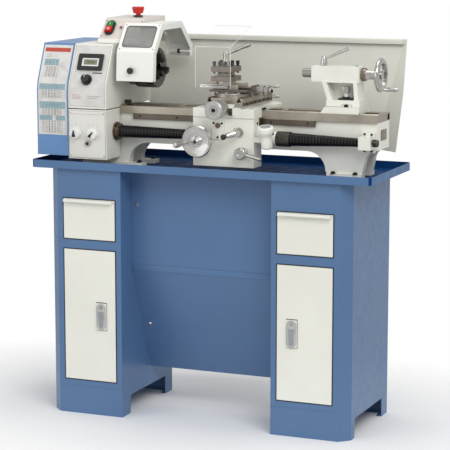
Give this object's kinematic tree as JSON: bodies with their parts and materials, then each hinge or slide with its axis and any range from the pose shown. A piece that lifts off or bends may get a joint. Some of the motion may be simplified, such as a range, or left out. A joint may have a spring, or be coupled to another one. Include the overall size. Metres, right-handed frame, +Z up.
{
  "type": "metal lathe",
  "caption": "Bench metal lathe on a two-cabinet stand with chip tray: geared carriage, swivelling compound, tailstock, hinged chuck guard and rear splash panel.",
  "frame": {"origin": "middle of the footprint box, on the floor", "axes": "+X from the headstock towards the tailstock, +Y away from the operator, +Z up"},
  "size_m": [1.143, 0.4748, 1.28],
  "materials": {
    "blue_paint": "semi-gloss blue",
    "cream_paint": "semi-gloss cream",
    "machine_white": "off-white machine enamel",
    "cast_white": "cast iron under off-white enamel",
    "ground_steel": "ground",
    "polished_steel": "polished",
    "polished_aluminium": "turned and polished",
    "black_oxide": "blackened",
    "black_plastic": "satin",
    "grey_plastic": "satin",
    "clear_sheet": "clear sheet",
    "red_plastic": "gloss",
    "green_plastic": "gloss",
    "belt_rubber": "matt"
  },
  "bodies": {
    "machine": {"left_cabinet": "blue_paint", "right_cabinet": "blue_paint", "chip_tray": "blue_paint", "knee_panel": "blue_paint", "bed": "cast_white", "rack": "ground_steel", "leadscrew_bracket": "cast_white", "gearbox_housing": "cast_white", "headstock_casting": "cast_white", "display_unit": "black_plastic", "control_box": "machine_white", "motor": "black_oxide", "drive_belt": "belt_rubber", "backsplash": "cream_paint", "leadscrew_cover_left": "black_oxide", "leadscrew_cover_right": "black_oxide"},
    "left_drawer": {"left_drawer": "cream_paint"},
    "right_drawer": {"right_drawer": "cream_paint"},
    "left_door": {"left_door": "cream_paint"},
    "right_door": {"right_door": "cream_paint"},
    "left_latch": {"left_door_latch": "grey_plastic"},
    "right_latch": {"right_door_latch": "grey_plastic"},
    "spindle": {"spindle": "ground_steel", "spindle_pulley": "ground_steel", "chuck_body": "ground_steel"},
    "jaw_1": {"chuck_jaw_1": "black_oxide"},
    "jaw_2": {"chuck_jaw_2": "black_oxide"},
    "jaw_3": {"chuck_jaw_3": "black_oxide"},
    "motor_pulley": {"motor_pulley": "ground_steel"},
    "idler_gear": {"idler_gear": "ground_steel"},
    "leadscrew": {"leadscrew": "ground_steel", "leadscrew_gear": "ground_steel"},
    "carriage": {"saddle": "cast_white", "apron": "cast_white", "thread_dial": "machine_white"},
    "apron_handwheel": {"apron_handwheel": "polished_aluminium"},
    "cross_slide": {"cross_slide": "ground_steel"},
    "cross_slide_handwheel": {"cross_slide_handwheel": "polished_steel"},
    "compound": {"compound_base": "ground_steel"},
    "top_slide": {"top_slide": "ground_steel", "chip_shield": "clear_sheet"},
    "top_slide_handwheel": {"top_slide_handwheel": "polished_steel"},
    "tool_post": {"tool_post": "ground_steel"},
    "tool_post_lever": {"tool_post_lever": "polished_steel"},
    "half_nut_lever": {"half_nut_lever": "polished_steel"},
    "feed_lever": {"feed_lever": "polished_steel"},
    "selector_left": {"selector_knob_left": "machine_white"},
    "selector_right": {"selector_knob_right": "machine_white"},
    "speed_dial": {"speed_dial": "black_plastic"},
    "end_cover": {"end_cover": "blue_paint"},
    "start_button": {"start_button": "green_plastic"},
    "stop_button": {"stop_button": "red_plastic"},
    "emergency_stop": {"emergency_stop": "red_plastic"},
    "chuck_guard": {"chuck_guard": "machine_white", "guard_window": "clear_sheet"},
    "tailstock": {"tailstock_base": "cast_white", "tailstock_body": "cast_white"},
    "quill": {"quill": "polished_steel"},
    "quill_handwheel": {"quill_handwheel": "polished_aluminium"},
    "quill_lock_lever": {"quill_lock_lever": "polished_steel"}
  },
  "joints": [
    {"name": "left_drawer_slide", "type": "slide", "parent": "machine", "child": "left_drawer", "axis": [0, -1, 0], "range_m": [0, 0.25]},
    {"name": "right_drawer_slide", "type": "slide", "parent": "machine", "child": "right_drawer", "axis": [0, -1, 0], "range_m": [0, 0.25]},
    {"name": "left_door_swing", "type": "hinge", "parent": "machine", "child": "left_door", "pos_m": [-0.4671, -0.15535, 0.1117], "axis": [0, 0, -1], "range_deg": [0, 100]},
    {"name": "right_door_swing", "type": "hinge", "parent": "machine", "child": "right_door", "pos_m": [0.4281, -0.15535, 0.1117], "axis": [0, 0, 1], "range_deg": [0, 100]},
    {"name": "left_latch_lift", "type": "hinge", "parent": "left_door", "child": "left_latch", "pos_m": [-0.3382, -0.15435, 0.36], "axis": [-1, 0, 0], "range_deg": [0, 30], "stiffness_Nm_per_rad": 0.05},
    {"name": "right_latch_lift", "type": "hinge", "parent": "right_door", "child": "right_latch", "pos_m": [0.2992, -0.15435, 0.36], "axis": [-1, 0, 0], "range_deg": [0, 30], "stiffness_Nm_per_rad": 0.05},
    {"name": "spindle_spin", "type": "hinge", "parent": "machine", "child": "spindle", "pos_m": [-0.3195, 0.00565, 1.094], "axis": [1, 0, 0], "continuous": true},
    {"name": "jaw_1_slide", "type": "slide", "parent": "spindle", "child": "jaw_1", "axis": [0, -0.2079, 0.9781], "range_m": [-0.012, 0.01]},
    {"name": "jaw_2_slide", "type": "slide", "parent": "spindle", "child": "jaw_2", "axis": [0, -0.7431, -0.6691], "range_m": [-0.012, 0.01]},
    {"name": "jaw_3_slide", "type": "slide", "parent": "spindle", "child": "jaw_3", "axis": [0, 0.9511, -0.309], "range_m": [-0.012, 0.01]},
    {"name": "motor_spin", "type": "hinge", "parent": "machine", "child": "motor_pulley", "pos_m": [-0.4695, 0.13065, 0.905], "axis": [1, 0, 0], "continuous": true},
    {"name": "idler_spin", "type": "hinge", "parent": "machine", "child": "idler_gear", "pos_m": [-0.4745, -0.01513, 1.00258], "axis": [1, 0, 0], "continuous": true},
    {"name": "leadscrew_spin", "type": "hinge", "parent": "machine", "child": "leadscrew", "pos_m": [-0.0195, -0.08435, 0.9], "axis": [1, 0, 0], "continuous": true},
    {"name": "carriage_travel", "type": "slide", "parent": "machine", "child": "carriage", "axis": [1, 0, 0], "range_m": [-0.08, 0.05], "deforming": ["leadscrew_cover_left", "leadscrew_cover_right"]},
    {"name": "apron_handwheel_turn", "type": "hinge", "parent": "carriage", "child": "apron_handwheel", "pos_m": [-0.0095, -0.15435, 0.889], "axis": [0, 1, 0], "range_deg": [-1527, 954]},
    {"name": "cross_slide_travel", "type": "slide", "parent": "carriage", "child": "cross_slide", "axis": [0, 1, 0], "range_m": [-0.02, 0.05]},
    {"name": "cross_slide_handwheel_turn", "type": "hinge", "parent": "carriage", "child": "cross_slide_handwheel", "pos_m": [0.063, -0.15435, 0.99], "axis": [0, 1, 0], "range_deg": [-1801, 4501]},
    {"name": "compound_swivel", "type": "hinge", "parent": "cross_slide", "child": "compound", "pos_m": [0.063, -0.04935, 1.019], "axis": [0, 0, 1], "range_deg": [-40, 8]},
    {"name": "top_slide_travel", "type": "slide", "parent": "compound", "child": "top_slide", "axis": [-1, 0, 0], "range_m": [-0.036, 0.015]},
    {"name": "top_slide_handwheel_turn", "type": "hinge", "parent": "compound", "child": "top_slide_handwheel", "pos_m": [0.1305, -0.01935, 1.036], "axis": [-1, 0, 0], "range_deg": [-4321, 1801]},
    {"name": "tool_post_index", "type": "hinge", "parent": "top_slide", "child": "tool_post", "pos_m": [0.0285, -0.01935, 1.0633], "axis": [0, 0, 1], "range_deg": [-90, 90]},
    {"name": "tool_post_lever_turn", "type": "hinge", "parent": "top_slide", "child": "tool_post_lever", "pos_m": [0.0285, -0.01935, 1.1084], "axis": [0, 0, 1], "range_deg": [-30, 60]},
    {"name": "half_nut_lever_turn", "type": "hinge", "parent": "carriage", "child": "half_nut_lever", "pos_m": [0.1135, -0.15435, 0.918], "axis": [0, -1, 0], "range_deg": [0, 30]},
    {"name": "feed_lever_turn", "type": "hinge", "parent": "carriage", "child": "feed_lever", "pos_m": [0.1255, -0.15435, 0.856], "axis": [0, 1, 0], "range_deg": [0, 40]},
    {"name": "selector_left_turn", "type": "hinge", "parent": "machine", "child": "selector_left", "pos_m": [-0.419, -0.15435, 0.8962], "axis": [0, 1, 0], "range_deg": [-60, 60]},
    {"name": "selector_right_turn", "type": "hinge", "parent": "machine", "child": "selector_right", "pos_m": [-0.3595, -0.15435, 0.8957], "axis": [0, 1, 0], "range_deg": [-60, 60]},
    {"name": "speed_dial_turn", "type": "hinge", "parent": "machine", "child": "speed_dial", "pos_m": [-0.3845, -0.14635, 1.0613], "axis": [0, 0.9189, -0.3944], "range_deg": [0, 270]},
    {"name": "end_cover_swing", "type": "hinge", "parent": "machine", "child": "end_cover", "pos_m": [-0.4475, 0.17665, 0.824], "axis": [0, 0, -1], "range_deg": [0, 100]},
    {"name": "start_button_press", "type": "slide", "parent": "machine", "child": "start_button", "axis": [0, 0.7355, -0.6775], "range_m": [0, 0.003], "stiffness_N_per_m": 300},
    {"name": "stop_button_press", "type": "slide", "parent": "machine", "child": "stop_button", "axis": [0, 0.7355, -0.6775], "range_m": [0, 0.003], "stiffness_N_per_m": 300},
    {"name": "emergency_stop_press", "type": "slide", "parent": "machine", "child": "emergency_stop", "axis": [0, 0, -1], "range_m": [0, 0.005], "stiffness_N_per_m": 800},
    {"name": "chuck_guard_swing", "type": "hinge", "parent": "machine", "child": "chuck_guard", "pos_m": [-0.1705, 0.15865, 1.136], "axis": [-1, 0, 0], "range_deg": [0, 70]},
    {"name": "tailstock_travel", "type": "slide", "parent": "machine", "child": "tailstock", "axis": [1, 0, 0], "range_m": [-0.02, 0.05]},
    {"name": "quill_travel", "type": "slide", "parent": "tailstock", "child": "quill", "axis": [-1, 0, 0], "range_m": [0, 0.05]},
    {"name": "quill_handwheel_turn", "type": "hinge", "parent": "tailstock", "child": "quill_handwheel", "pos_m": [0.5105, 0.00565, 1.094], "axis": [-1, 0, 0], "range_deg": [0, 5999]},
    {"name": "quill_lock_turn", "type": "hinge", "parent": "tailstock", "child": "quill_lock_lever", "pos_m": [0.3375, 0.00565, 1.1172], "axis": [0, 0, 1], "range_deg": [-45, 45]}
  ],
  "couplings": [
    {"joint": "jaw_2_slide", "follows": "jaw_1_slide", "ratio": 1},
    {"joint": "jaw_3_slide", "follows": "jaw_1_slide", "ratio": 1},
    {"joint": "motor_spin", "follows": "spindle_spin", "ratio": 2},
    {"joint": "idler_spin", "follows": "spindle_spin", "ratio": -0.47059},
    {"joint": "leadscrew_spin", "follows": "spindle_spin", "ratio": 0.5},
    {"joint": "carriage_travel", "follows": "apron_handwheel_turn", "m_per_rad": 0.003},
    {"joint": "cross_slide_handwheel_turn", "follows": "cross_slide_travel", "rad_per_m": 1570.8},
    {"joint": "top_slide_handwheel_turn", "follows": "top_slide_travel", "rad_per_m": 2094.4},
    {"joint": "quill_travel", "follows": "quill_handwheel_turn", "m_per_rad": 0.00047746}
  ]
}
